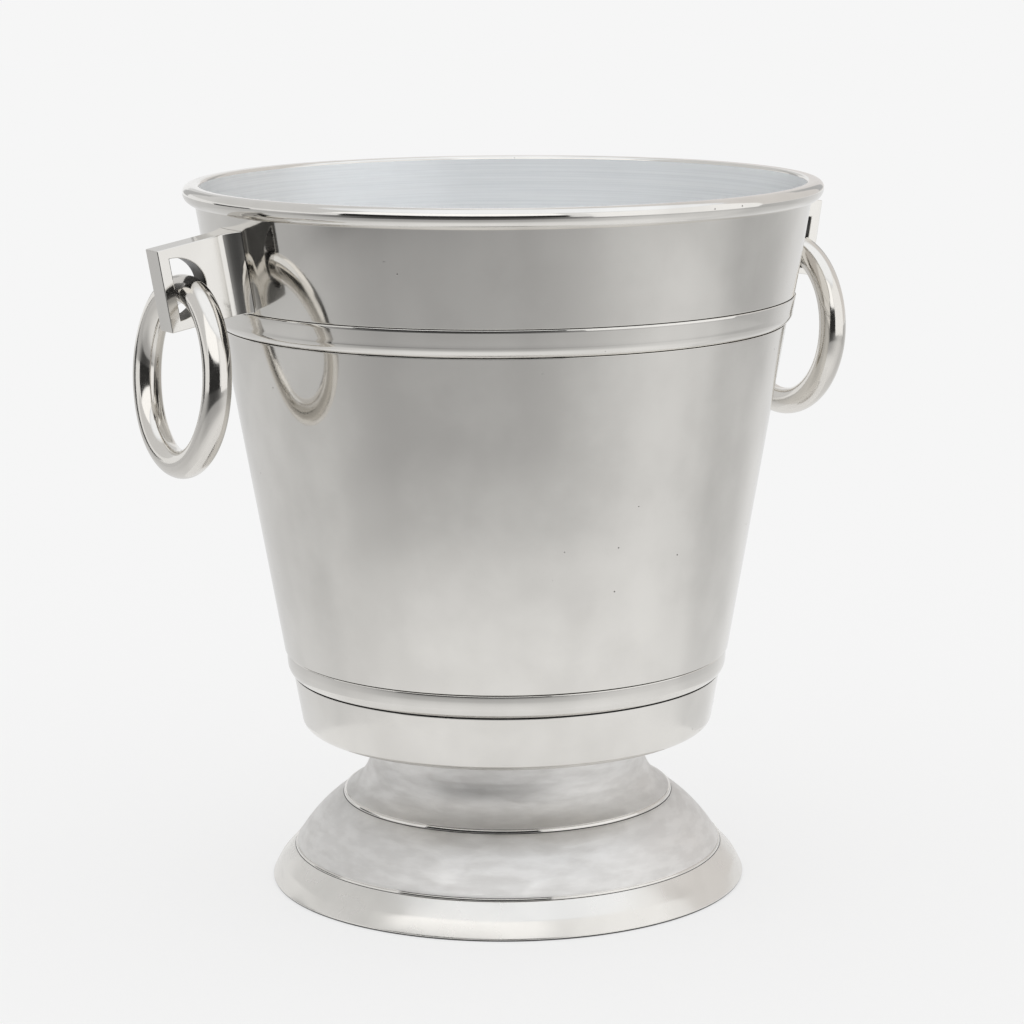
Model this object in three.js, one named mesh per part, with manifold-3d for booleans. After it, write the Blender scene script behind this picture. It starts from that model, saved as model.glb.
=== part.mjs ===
// Champagne bucket: a tapered cast bowl on a hollow pedestal foot, with two
// applied bands and two lugs that each carry a loose ring handle.
// Millimetres, +Z up.  The origin is the centre of the foot's base, and the
// two lugs stand along +X (right) and -X (left).
import * as THREE from 'three';
import { mergeVertices } from 'three/addons/utils/BufferGeometryUtils.js';
import Module from 'manifold-3d';

const wasm = await Module();
wasm.setup();

// ---------------------------------------------------------------- dimensions
const gap = 0.3;                  // play between two pieces that meet
const sides = 48;                 // flats around the large turned pieces

const bowlBottomZ = 60.2;         // underside of the bowl
const bowlCornerRadius = 4;       // round between the skirt and the underside
// The outer wall is three straight slopes: radius at z = 0, and radius gained per millimetre.
const lowerWall = { atZero: 69.6, slope: 0.1718 };
const upperWall = { atZero: 72.3, slope: 0.165 };     // stands a little proud above the band
const skirt = { atZero: 67.65, slope: 0.1769 };       // below the lower band
const inner = { low: [76, 72], top: [113.6, 267.4] }; // straight inside wall: radius, height
const floorZ = 64.4;              // inside floor
const floorRound = 7.6;           // round between the floor and the wall

// The rim bead: middle of its section, and how far it reaches from there.
const bead = { radius: 116.6, z: 265.9, out: 3.4, up: 2.95, down: 3.6 };
const coveFootZ = 260.7;          // where the hollow under the bead meets the wall

const upperSeat = { low: 215.7, high: 226.4, depth: 1.9 };   // grooves that hold the bands
const lowerSeat = { low: 81.0, high: 90.6, depth: 2.4 };
const upperBand = { low: 216, high: 226.1, bendZ: 220, bendRadius: 109.15, topRadius: 109.95 };
const lowerBand = { low: 81.3, high: 90.3, bendZ: 85.4, bendRadius: 84.2, topRadius: 84.35 };
const bandEdge = 0.4;             // small slope on the bands' corners

const footRadius = 91.3;          // the flared base
const footBend = [88.3, 6.6];     // where the flange's round edge ends: radius, height
const footStep = [82.4, 12.7];    // line between the base flange and the dome
const neckStep = [63.4, 33.2];    // line between the dome and the neck
const neckRadius = 53.1;          // waist under the bowl
const neckTopZ = 46.5;
const stepLip = 0.9;              // size of the small lips at the two lines
const footWall = 3.6;             // thickness of the hollow foot casting
const webZ = 54.9;                // underside of the plate that closes the neck
const webCorner = [2, 3];         // slope from that plate into the neck: across, down
const neckTopFlare = 0.6;         // how far the neck spreads again under the bowl
const domeBow = 1.5;              // how far the dome and the neck bow from straight
const neckBow = 1.8;
const hollowDomeTop = [3, 4];     // the hollow's dome, in and down from the neck's line
const standWidth = 6;             // how far in from the flange's edge the hollow starts

const boltRadius = 4;             // M8 bolt that joins the bowl to the foot
const boltHoleRadius = boltRadius + gap;
const gasketThickness = 1.5;
const washerThickness = 1.6;
const boltHeadRadius = 8;
const boltHeadHeight = 4.6;
const nutHeight = 6.5;
const nutCornerRadius = 7.5;
const boltEndZ = 43.5;
const gasketRadius = 11;
const boltWasherRadius = 10;
const nutWasherRadius = 9;

const lugMiddleZ = 241.8;         // the lug's root on the wall: height, radius and tilt
const lugRootRadius = 111.97;
const lugTilt = 10.03;
const lugLength = 31.6;           // from the wall to the end face, square to the wall
const lugHeight = 30;
const lugThickness = 9.6;
const lugFlare = 9.6;             // radius of the hollow that spreads the lug's root
const lugFlareTurn = 52;          // and how far round it goes, in degrees
const slotPost = 4.2;             // metal between the slot and the end face
const slotDepth = 12.3;           // D-shaped slot: flat side outward, round side inward
// The two lugs are not quite alike: the right plate sits higher, round a shorter slot.
const slotHalfHeight = { left: 11.2, right: 10.2 };
const plateRaise = { left: 0, right: 2.3 };

const ringRadius = 31.4;          // middle of the ring's bar
const barRadius = 5.25;           // the ring's round bar
const pivotOut = 21.5;            // where the bar rests in the slot, from the wall
const pivotDrop = 1.6;            // and below the lug's middle line
const ringPoses = {
  left: { lean: 4.2, twist: -2.5 },
  right: { lean: -2.5, twist: 0 },
};

const screwRadius = 2;
const screwHoleRadius = screwRadius + gap + 0.1;
const screwHeadRadius = 4;
const screwHeadHeight = 2.4;
const screwWasherRadius = 5;
const screwWasherThickness = 1;
const screwReach = 10;            // length of screw inside the lug
const screwOffset = 8.5;          // above and below the lug's middle line
const castWallAtLug = 3.5;        // wall thickness behind the lug
const cutPast = 4;                // how far a cut or a trimmed root runs past the wall

// ---------------------------------------------------------------- materials
const polishedNickel = new THREE.MeshStandardMaterial({ color: 0xd3d1cc, roughness: 0.14, metalness: 1 });
const ringNickel = new THREE.MeshStandardMaterial({ color: 0xd0ccc5, roughness: 0.1, metalness: 1 });
const steel = new THREE.MeshStandardMaterial({ color: 0xb4b5b6, roughness: 0.35, metalness: 1 });
const sealRubber = new THREE.MeshStandardMaterial({ color: 0x1d1d1e, roughness: 0.8, metalness: 0 });

// ------------------------------------------------------------------- helpers
const point = (radius, height) => new THREE.Vector2(radius, height);
const onSlope = (line, height) => line.atZero + line.slope * height;
const radians = (degrees) => (degrees * Math.PI) / 180;

// Points along an arc about a centre, both ends included.
function ovalArc(centre, across, up, fromDegrees, toDegrees, steps) {
  const points = [];
  for (let i = 0; i <= steps; i += 1) {
    const angle = radians(fromDegrees + ((toDegrees - fromDegrees) * i) / steps);
    points.push(point(centre.x + across * Math.cos(angle), centre.y + up * Math.sin(angle)));
  }
  return points;
}

function arcAbout(centre, radius, fromDegrees, toDegrees, steps) {
  return ovalArc(centre, radius, radius, fromDegrees, toDegrees, steps);
}

// Points on a bowed line between two ends.  A positive rise bows the line to
// the right of its direction, which is outward on a profile that climbs.
function bowed(from, to, rise, steps) {
  const chord = to.clone().sub(from);
  const across = point(chord.y, -chord.x).normalize();
  const points = [];
  for (let i = 0; i <= steps; i += 1) {
    const t = i / steps;
    const height = 4 * rise * t * (1 - t);
    points.push(from.clone().addScaledVector(chord, t).addScaledVector(across, height));
  }
  return points;
}

// A turned solid about +Z from a closed outline of (radius, height) points.
function turned(outline, segments = sides) {
  const closed = [...outline, outline[0].clone()];
  const geometry = new THREE.LatheGeometry(closed, segments);
  geometry.rotateX(Math.PI / 2);
  return faceOut(geometry);
}

// Signed volume, to tell which way a closed mesh faces.
function signedVolume(geometry) {
  const position = geometry.attributes.position;
  const index = geometry.index.array;
  const a = new THREE.Vector3();
  const b = new THREE.Vector3();
  const c = new THREE.Vector3();
  let sum = 0;
  for (let i = 0; i < index.length; i += 3) {
    a.fromBufferAttribute(position, index[i]);
    b.fromBufferAttribute(position, index[i + 1]);
    c.fromBufferAttribute(position, index[i + 2]);
    sum += a.dot(b.cross(c));
  }
  return sum / 6;
}

// Merge shared vertices, drop triangles that have no area, and turn the faces out.
function faceOut(source) {
  const bare = source.clone();
  bare.deleteAttribute('normal');
  bare.deleteAttribute('uv');
  const merged = mergeVertices(bare, 1e-4);
  const kept = [];
  const old = merged.index.array;
  for (let i = 0; i < old.length; i += 3) {
    const [a, b, c] = [old[i], old[i + 1], old[i + 2]];
    if (a !== b && b !== c && c !== a) kept.push(a, b, c);
  }
  merged.setIndex(kept);
  if (signedVolume(merged) < 0) {
    for (let i = 0; i < kept.length; i += 3) [kept[i + 1], kept[i + 2]] = [kept[i + 2], kept[i + 1]];
    merged.setIndex(kept);
  }
  return merged;
}

function toSolid(geometry) {
  const clean = faceOut(geometry);
  return new wasm.Manifold(new wasm.Mesh({
    numProp: 3,
    vertProperties: new Float32Array(clean.attributes.position.array),
    triVerts: new Uint32Array(clean.index.array),
  }));
}

function toGeometry(solid) {
  const mesh = solid.getMesh();
  const geometry = new THREE.BufferGeometry();
  geometry.setAttribute('position', new THREE.BufferAttribute(new Float32Array(mesh.vertProperties), 3));
  geometry.setIndex(new THREE.BufferAttribute(new Uint32Array(mesh.triVerts), 1));
  geometry.computeVertexNormals();
  return geometry;
}

function named(name, geometry, material) {
  const mesh = new THREE.Mesh(geometry, material);
  mesh.name = name;
  return mesh;
}

// A disc or flat ring about +Z between two heights.
function flatRing(innerRadius, outerRadius, low, high, segments = 32) {
  return turned([
    point(innerRadius, low),
    point(outerRadius, low),
    point(outerRadius, high),
    point(innerRadius, high),
  ], segments);
}

// A plain cylinder along +X between two places, for cutting holes.
function holeAlongX(radius, from, to, height) {
  const geometry = new THREE.CylinderGeometry(radius, radius, to - from, 20);
  geometry.rotateZ(Math.PI / 2);
  geometry.translate((from + to) / 2, 0, height);
  return geometry;
}

// ---------------------------------------------------------- the lug's frame
// Local X runs out of the wall, local Y along the wall, local Z up the wall.
const toLugFrame = new THREE.Matrix4()
  .makeTranslation(lugRootRadius, 0, lugMiddleZ)
  .multiply(new THREE.Matrix4().makeRotationY(radians(lugTilt)));
const fromLugFrame = toLugFrame.clone().invert();
const aboutZ = (side) => new THREE.Matrix4().makeRotationZ(side === 'right' ? 0 : Math.PI);

// --------------------------------------------------------------------- bowl
// The rim: a hollow runs out to the bead, which rolls over and in to the inner wall.
function rimOutline() {
  const middle = point(bead.radius, bead.z);
  const under = ovalArc(middle, bead.out, bead.down, -60, 0, 4);
  const over = ovalArc(middle, bead.out, bead.up, 0, 100, 7);
  const coveFoot = point(onSlope(upperWall, coveFootZ), coveFootZ);
  const [lipRadius, lipZ] = inner.top;
  return [
    ...bowed(coveFoot, under[0], 0.4, 3).slice(0, -1),
    ...under.slice(0, -1),
    ...over,
    point(lipRadius + 0.45, lipZ + 1),
    point(lipRadius, lipZ),
  ];
}

function bowlOutline() {
  const cornerZ = bowlBottomZ + bowlCornerRadius;
  const corner = point(onSlope(skirt, cornerZ) - bowlCornerRadius, cornerZ);
  const [floorRadius, floorRoundZ] = inner.low;
  const floorCorner = point(floorRadius - floorRound, floorRoundZ);
  return [
    point(boltHoleRadius, bowlBottomZ),
    ...arcAbout(corner, bowlCornerRadius, -90, 0, 4),
    point(onSlope(skirt, lowerSeat.low), lowerSeat.low),
    point(onSlope(lowerWall, lowerSeat.low) - lowerSeat.depth, lowerSeat.low),
    point(onSlope(lowerWall, lowerSeat.high) - lowerSeat.depth, lowerSeat.high),
    point(onSlope(lowerWall, lowerSeat.high), lowerSeat.high),
    point(onSlope(lowerWall, upperSeat.low), upperSeat.low),
    point(onSlope(lowerWall, upperSeat.low) - upperSeat.depth, upperSeat.low),
    point(onSlope(lowerWall, upperSeat.high) - upperSeat.depth, upperSeat.high),
    point(onSlope(upperWall, upperSeat.high), upperSeat.high),
    ...rimOutline(),
    ...arcAbout(floorCorner, floorRound, -11, -90, 4),
    point(boltHoleRadius, floorZ),
  ];
}

function makeBowl() {
  let solid = toSolid(turned(bowlOutline()));
  for (const side of ['left', 'right']) {
    for (const height of [screwOffset, -screwOffset]) {
      const hole = holeAlongX(screwHoleRadius, -castWallAtLug - cutPast, cutPast, height);
      hole.applyMatrix4(aboutZ(side).multiply(toLugFrame));
      solid = solid.subtract(toSolid(hole));
    }
  }
  return named('bowl', toGeometry(solid), polishedNickel);
}

// -------------------------------------------------------------------- bands
// A band: a face that stands off the wall, over a round lip that turns in.
function bandOutline(band, seat, wallBelow, lipRise) {
  const seatRadius = (height) => onSlope(lowerWall, height) - seat.depth + gap;
  const lipFoot = point(onSlope(wallBelow, band.low) + bandEdge, band.low + bandEdge);
  return [
    point(seatRadius(band.low), band.low),
    point(lipFoot.x - bandEdge, band.low),
    ...bowed(lipFoot, point(band.bendRadius, band.bendZ), lipRise, 4),
    point(band.topRadius, band.high - bandEdge),
    point(band.topRadius - bandEdge, band.high),
    point(seatRadius(band.high), band.high),
  ];
}

function makeUpperBand() {
  return named('upper_band', turned(bandOutline(upperBand, upperSeat, lowerWall, 0.5)), polishedNickel);
}

function makeLowerBand() {
  return named('lower_band', turned(bandOutline(lowerBand, lowerSeat, skirt, 0.4)), polishedNickel);
}

// --------------------------------------------------------------------- foot
// A straight-edged round flange, a bowed dome and a hollow neck, with a small lip at each line.
function footOutside() {
  const [stepRadius, stepZ] = footStep;
  const [neckStepRadius, neckStepZ] = neckStep;
  const domeLow = point(stepRadius - stepLip, stepZ + stepLip);
  const domeTop = point(neckStepRadius, neckStepZ - stepLip);
  const neckTop = point(neckRadius, neckTopZ);
  return [
    point(footRadius - stepLip, 0),
    ...bowed(point(footRadius, stepLip), point(...footBend), 0.6, 4),
    point(stepRadius + stepLip / 2, stepZ - stepLip / 2),
    ...bowed(domeLow, domeTop, domeBow, 7),
    point(neckStepRadius, neckStepZ),
    ...bowed(point(neckStepRadius - stepLip, neckStepZ + stepLip), neckTop, -neckBow, 6),
    point(neckRadius + neckTopFlare, bowlBottomZ - gap),
    point(boltHoleRadius, bowlBottomZ - gap),
  ];
}

// The hollow follows the outside, one wall thickness in.
function footInside() {
  const [stepRadius, stepZ] = footStep;
  const [neckStepRadius, neckStepZ] = neckStep;
  const [cornerAcross, cornerDown] = webCorner;
  const [domeTopIn, domeTopDown] = hollowDomeTop;
  const hollowTop = point(neckRadius - footWall, webZ - cornerDown);
  const underNeck = point(neckStepRadius - footWall - stepLip, neckStepZ - 1.6);
  const domeTop = point(neckStepRadius - domeTopIn, neckStepZ - domeTopDown);
  const domeLow = point(stepRadius - footWall - stepLip, stepZ - 0.4);
  return [
    point(boltHoleRadius, webZ),
    point(neckRadius - footWall - cornerAcross, webZ),
    ...bowed(hollowTop, underNeck, 1.6, 4),
    ...bowed(domeTop, domeLow, -1.4, 4),
    point(footRadius - standWidth, 0),
  ];
}

function makeFoot() {
  return named('foot', turned([...footOutside(), ...footInside()]), polishedNickel);
}

// ----------------------------------------------------- bolt through the foot
const gasketLow = floorZ + gap;
const boltWasherLow = gasketLow + gasketThickness + gap;
const boltHeadLow = boltWasherLow + washerThickness + gap;
const nutWasherHigh = webZ - gap;
const nutHigh = nutWasherHigh - washerThickness - gap;

// A pan-headed fastener standing on +Z: the head's flat is at z = 0.
function panHeaded(shankRadius, shankLength, headRadius, headHeight, segments) {
  return turned([
    point(0, -shankLength),
    point(shankRadius - 0.5, -shankLength),
    point(shankRadius, 0.5 - shankLength),
    point(shankRadius, 0),
    point(headRadius, 0),
    ...bowed(point(headRadius, headHeight * 0.35), point(0, headHeight), headHeight * 0.22, 4),
  ], segments);
}

function makeFootBolt() {
  const geometry = panHeaded(boltRadius, boltHeadLow - boltEndZ, boltHeadRadius, boltHeadHeight, 24);
  geometry.translate(0, 0, boltHeadLow);
  return named('foot_bolt', geometry, steel);
}

function makeFootNut() {
  const geometry = new THREE.CylinderGeometry(nutCornerRadius, nutCornerRadius, nutHeight, 6);
  geometry.rotateX(Math.PI / 2);
  geometry.translate(0, 0, nutHigh - nutHeight / 2);
  const bore = new THREE.CylinderGeometry(boltHoleRadius, boltHoleRadius, nutHeight * 2, 24);
  bore.rotateX(Math.PI / 2);
  bore.translate(0, 0, nutHigh - nutHeight / 2);
  return named('foot_nut', toGeometry(toSolid(geometry).subtract(toSolid(bore))), steel);
}

// --------------------------------------------------------------------- lugs
// The lug seen from above: a plate whose root spreads in two hollow curves.
function lugPlan() {
  const half = lugThickness / 2;
  const turn = radians(lugFlareTurn);
  const flareLength = lugFlare * Math.sin(turn);
  const rootHalf = half + lugFlare * (1 - Math.cos(turn));
  const quarter = Math.PI / 2;
  const plan = new THREE.Shape();
  plan.moveTo(lugLength, -half);
  plan.lineTo(lugLength, half);
  plan.absarc(flareLength, half + lugFlare, lugFlare, -quarter, -quarter - turn, true);
  plan.lineTo(-cutPast, rootHalf);
  plan.lineTo(-cutPast, -rootHalf);
  plan.absarc(flareLength, -half - lugFlare, lugFlare, quarter + turn, quarter, true);
  plan.closePath();
  return plan;
}

// The D-shaped slot that the ring passes through, as an outline in X and Z.
function slotOutline(halfHeight) {
  const flat = lugLength - slotPost;
  const outline = new THREE.Shape();
  outline.absellipse(flat, 0, slotDepth, halfHeight, Math.PI / 2, Math.PI * 1.5, false, 0);
  outline.closePath();
  return outline;
}

function makeLug(side) {
  const plateShape = { depth: lugHeight, bevelEnabled: false, curveSegments: 6 };
  const plate = new THREE.ExtrudeGeometry(lugPlan(), plateShape);
  plate.translate(0, 0, plateRaise[side] - lugHeight / 2);
  const slotDepthThrough = lugThickness * 3;
  const slotShape = { depth: slotDepthThrough, bevelEnabled: false, curveSegments: 20 };
  const slot = new THREE.ExtrudeGeometry(slotOutline(slotHalfHeight[side]), slotShape);
  slot.rotateX(Math.PI / 2);
  slot.translate(0, slotDepthThrough / 2, 0);
  const wallLow = lugMiddleZ - lugHeight;
  const wallHigh = lugMiddleZ + lugHeight;
  const wall = turned([
    point(0, wallLow),
    point(onSlope(upperWall, wallLow) + gap, wallLow),
    point(onSlope(upperWall, wallHigh) + gap, wallHigh),
    point(0, wallHigh),
  ]);
  wall.applyMatrix4(fromLugFrame);
  let solid = toSolid(plate).subtract(toSolid(slot)).subtract(toSolid(wall));
  for (const height of [screwOffset, -screwOffset]) {
    solid = solid.subtract(toSolid(holeAlongX(screwHoleRadius, -cutPast, screwReach + 1, height)));
  }
  return named(`${side}_lug`, toGeometry(solid), polishedNickel);
}

// Screw and washer stand on the inside of the wall and point outward.
function makeLugScrew(side, level, height) {
  const washerX = -castWallAtLug - gap - screwWasherThickness - 0.4;
  const headX = washerX - gap;
  const screw = panHeaded(screwRadius, screwReach - headX, screwHeadRadius, screwHeadHeight, 16);
  screw.rotateY(-Math.PI / 2);
  screw.translate(headX, 0, height);
  const washer = flatRing(screwHoleRadius, screwWasherRadius, 0, screwWasherThickness, 20);
  washer.rotateY(Math.PI / 2);
  washer.translate(washerX, 0, height);
  return [
    named(`${side}_lug_screw_${level}`, screw, steel),
    named(`${side}_lug_washer_${level}`, washer, steel),
  ];
}

// -------------------------------------------------------------------- rings
// The ring is made hanging in the YZ plane, with its top bar at the origin.
function makeRing(side) {
  const section = arcAbout(point(ringRadius, 0), barRadius, 0, 330, 11);
  const geometry = turned(section, 40);
  geometry.rotateY(Math.PI / 2);
  geometry.translate(0, 0, -ringRadius);
  const ring = named(`${side}_ring`, geometry, ringNickel);
  const pose = ringPoses[side];
  const pivot = new THREE.Vector3(pivotOut, 0, -pivotDrop).applyMatrix4(toLugFrame);
  ring.position.copy(pivot);
  ring.rotation.set(0, -radians(pose.lean), radians(pose.twist), 'ZYX');
  return ring;
}

function makeSide(side) {
  const lugFrame = new THREE.Group();
  lugFrame.applyMatrix4(toLugFrame);
  lugFrame.add(makeLug(side));
  lugFrame.add(...makeLugScrew(side, 'upper', screwOffset));
  lugFrame.add(...makeLugScrew(side, 'lower', -screwOffset));
  const assembly = new THREE.Group();
  assembly.add(lugFrame, makeRing(side));
  assembly.applyMatrix4(aboutZ(side));
  return assembly;
}

// ----------------------------------------------------------------- assembly
const group = new THREE.Group();
group.add(makeBowl(), makeUpperBand(), makeLowerBand(), makeFoot());
group.add(makeFootBolt(), makeFootNut());
group.add(named('foot_bolt_gasket',
  flatRing(boltHoleRadius, gasketRadius, gasketLow, gasketLow + gasketThickness), sealRubber));
group.add(named('foot_bolt_washer',
  flatRing(boltHoleRadius, boltWasherRadius, boltWasherLow, boltWasherLow + washerThickness), steel));
group.add(named('foot_nut_washer',
  flatRing(boltHoleRadius, nutWasherRadius, nutWasherHigh - washerThickness, nutWasherHigh), steel));
group.add(makeSide('left'), makeSide('right'));

export default group;
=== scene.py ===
"""A footed champagne bucket in polished nickel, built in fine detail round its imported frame.

Outlines are (radius, height) points in millimetres, turned about the bucket's upright
axis.  Everything else is in metres, in the frame's own axes: +Z up, the lugs along X.
"""
import math

import bmesh
import bpy
from mathutils import Matrix, Vector


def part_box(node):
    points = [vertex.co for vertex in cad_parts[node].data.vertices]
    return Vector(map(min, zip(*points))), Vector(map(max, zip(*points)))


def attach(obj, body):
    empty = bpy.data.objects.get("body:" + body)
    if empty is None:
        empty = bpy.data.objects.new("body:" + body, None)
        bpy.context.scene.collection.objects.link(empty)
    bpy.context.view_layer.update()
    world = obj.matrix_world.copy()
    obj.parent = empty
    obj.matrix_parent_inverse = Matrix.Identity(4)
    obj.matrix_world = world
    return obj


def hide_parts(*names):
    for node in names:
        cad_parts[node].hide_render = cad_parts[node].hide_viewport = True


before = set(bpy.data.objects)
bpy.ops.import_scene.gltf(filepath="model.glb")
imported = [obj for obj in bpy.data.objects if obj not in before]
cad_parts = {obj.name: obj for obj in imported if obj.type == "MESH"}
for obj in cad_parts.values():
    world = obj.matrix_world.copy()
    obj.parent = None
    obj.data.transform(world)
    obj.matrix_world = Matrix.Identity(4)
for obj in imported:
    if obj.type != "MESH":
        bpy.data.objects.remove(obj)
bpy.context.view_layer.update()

# ------------------------------------------------------------------ dimensions
MM = 0.001
FINE = 288                        # segments round the large turned pieces

GAP = 0.3                         # play between two pieces that meet

LOWER_WALL = (69.6, 0.1718)       # radius at height zero, and radius gained per millimetre
UPPER_WALL = (72.3, 0.165)        # the wall above the upper band stands a little proud
SKIRT = (67.65, 0.1769)           # the wall below the lower band
BOWL_BOTTOM = 60.2
BOWL_CORNER = 4.0                 # round between the skirt and the underside
BOWL_FLOOR = 64.4
FLOOR_ROUND = 7.6                 # round between the inside floor and the inner wall
INNER_TOP = (113.6, 267.4)        # inner wall, where it turns over into the rim
INNER_LOW = (76.0, 72.0)          # inner wall, where the floor's round begins

BEAD = (116.6, 265.9)             # middle of the rim bead's section
BEAD_OUT = 3.4                    # from the middle outward, upward and downward
BEAD_UP = 2.94
BEAD_DOWN = 3.9
COVE_FOOT = 261.2                 # height where the hollow under the bead meets the wall

UPPER_BAND = (216.0, 226.1)       # lowest and highest edge
LOWER_BAND = (81.3, 90.3)
UPPER_SEAT = (215.75, 226.3, 1.9)  # low edge, high edge and depth of the bowl's groove
LOWER_SEAT = (80.9, 90.55, 2.4)

FOOT_RADIUS = 91.3
FLANGE_BEND = (88.3, 6.6)         # the flange is steeper below this
FLANGE_STEP = (82.45, 13.0)       # small lip between the base flange and the dome
FLANGE_LIP = 0.5                  # and its size
NECK_STEP = (63.4, 33.2)          # small lip between the dome and the neck
NECK_LIP = 0.7
CONTACT_SHADOW_HEIGHT = 0.8                   # height of the painted contact shadow, a dark line where the base meets the table
NECK_RADIUS = 53.1
FOOT_WALL = 3.6
WEB = 54.9                        # underside of the plate that closes the neck
WEB_CORNER = 2                    # round inside the neck, under that plate
NECK_TOP = 46.5                   # where the neck is narrowest
STAND_WIDTH = 6                   # how far in from the flange's edge the hollow starts

BOLT_RADIUS = 4.0
BOLT_HOLE = BOLT_RADIUS + GAP
BOLT_PITCH = 1.25
BOLT_HEAD_RADIUS = 8.0
BOLT_WASHER_RADIUS = 10
GASKET_RADIUS = 11
NUT_WASHER_RADIUS = 9
NUT_CORNER = 7.5

SCREW_RADIUS = 2.0
SCREW_PITCH = 0.7
SCREW_HEAD = (4.0, 2.4)           # radius and height
SCREW_REACH = 10                  # length of screw inside the lug
SCREW_OFFSET = 8.5                # above and below the lug's middle line
SCREW_WASHER_RADIUS = 5.0
SCREW_WASHER_THICKNESS = 1.0
WALL_AT_LUG = 3.5                 # thickness of the bowl's wall behind the lug

LUG_ROOT = 111.97                 # radius and height of the lug's middle on the wall
LUG_HEIGHT_ON_WALL = 241.8
LUG_TILT = math.radians(10.03)
LUG_LENGTH = 31.6
LUG_HEIGHT = 30.0
LUG_THICKNESS = 9.6
LUG_FLARE = 9.6                   # radius of the hollow that spreads the lug's root
LUG_FLARE_TURN = 52               # and how far round it goes, in degrees
LUG_EDGE = 0.35                   # round on the lug's edges
SLOT_POST = 4.2                   # metal between the slot and the end face
SLOT_DEPTH = 12.3
SLOT_HALF_HEIGHT = {"left": 11.2, "right": 10.2}
PLATE_RAISE = {"left": 0, "right": 2.3}          # the right plate sits a little higher

RING_RADIUS = 31.4                # middle of the ring's bar
BAR_RADIUS = 5.25
PIVOT_OUT = 21.5                  # where the bar rests in the slot, from the wall
PIVOT_DROP = 1.6                  # and below the lug's middle line
RING_POSES = {"left": (4.2, -2.5), "right": (-2.5, 0.0)}   # lean and twist, in degrees

# The camera, as the object was seen: turned round the bucket, above the table, tilted down.
CAMERA_TURN = 31.47
CAMERA_DISTANCE = 1.2027
CAMERA_HEIGHT = 0.37084
CAMERA_ASIDE = 0.0025
CAMERA_TILT = 10.79
CAMERA_ROLL = -0.402
CAMERA_LENS = 112.45

PAPER = 0.9215                    # brightness of the white paper and background
# The paper's brightness in reflections, by distance in front of the bucket (metres)...
TABLE_FRONT = ((0.20, 0.92), (0.25, 0.87), (0.31, 0.77), (0.377, 0.57), (0.447, 0.47),
               (0.60, 0.43), (0.67, 0.42), (0.74, 0.34), (0.80, 0.06))
# ...how much of that dimming there is, by turn from the camera (degrees)...
TABLE_SHARE = ((-180, 0.1), (-120, 0.22), (-92, 0.28), (-72, 0.45), (-58, 0.85), (-45, 1.0),
               (8, 1.0), (32, 0.66), (53, 0.36), (72, 0.24), (92, 0.32), (112, 0.34), (145, 0.08))
# ...and how much painted shade dims the paper beside that.
TABLE_PAINTED_DIMMING = ((-180, 0.97), (-135, 0.85), (-118, 0.84), (-90, 0.80), (-72, 0.88), (-50, 0.97),
                 (-30, 1.0), (60, 1.0), (84, 0.93), (100, 0.82), (120, 0.85), (145, 0.95))


# ---------------------------------------------------------------------- outlines
def on_line(line, height):
    """Radius of a straight wall at a height."""
    return line[0] + line[1] * height


def arc(centre, radii, start, end, steps):
    """Points along an arc about a centre, between two angles in degrees."""
    points = []
    for i in range(steps + 1):
        angle = math.radians(start + (end - start) * i / steps)
        across = radii[0] * math.cos(angle)
        up = radii[1] * math.sin(angle)
        points.append((centre[0] + across, centre[1] + up))
    return points


def round_arc(centre, radius, start, end, steps):
    """Points along a circular arc."""
    return arc(centre, (radius, radius), start, end, steps)


def bowed(start, end, rise, steps):
    """Points on a bowed line; a positive rise bows it to the right of its direction."""
    run = end[0] - start[0]
    climb = end[1] - start[1]
    length = math.hypot(run, climb)
    points = []
    for i in range(steps + 1):
        t = i / steps
        bow = 4 * rise * t * (1 - t) / length
        points.append((start[0] + run * t + climb * bow, start[1] + climb * t - run * bow))
    return points


def rounded(corners, steps=5):
    """A closed outline from (radius, height, round) corners, each corner cut by an arc."""
    points = []
    count = len(corners)
    for i, (x, y, radius) in enumerate(corners):
        here = Vector((x, y))
        if radius == 0:
            points.append((x, y))
            continue
        before = (Vector(corners[i - 1][:2]) - here).normalized()
        after = (Vector(corners[(i + 1) % count][:2]) - here).normalized()
        half = before.angle(after) / 2
        reach = radius / math.tan(half)
        centre = here + (before + after).normalized() * radius / math.sin(half)
        first = here + before * reach - centre
        turn = (here + after * reach - centre).angle_signed(first)
        for step in range(steps + 1):
            spoke = first.copy()
            spoke.rotate(Matrix.Rotation(turn * step / steps, 2))
            points.append(tuple(centre + spoke))
    return points


def supported(outline, reach=0.35):
    """Add a point near each end of every long straight stretch, to keep it flat in shading."""
    points = []
    for i, start in enumerate(outline):
        end = outline[(i + 1) % len(outline)]
        length = math.dist(start, end)
        points.append(start)
        if length > 4 * reach:
            for part in (reach / length, 1 - reach / length):
                points.append(tuple(a + (b - a) * part for a, b in zip(start, end)))
    return points


# ------------------------------------------------------------------------ meshes
def new_piece(name, bm, sharp=35):
    """A linked object from a bmesh, shaded smooth except across edges sharper than this."""
    bmesh.ops.remove_doubles(bm, verts=bm.verts, dist=1e-7)
    bmesh.ops.recalc_face_normals(bm, faces=bm.faces)
    for face in bm.faces:
        face.smooth = True
    for edge in bm.edges:
        if len(edge.link_faces) == 2 and edge.calc_face_angle() > math.radians(sharp):
            edge.smooth = False
    mesh = bpy.data.meshes.new(name)
    bm.to_mesh(mesh)
    bm.free()
    piece = bpy.data.objects.new(name, mesh)
    bpy.context.scene.collection.objects.link(piece)
    return piece


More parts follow.
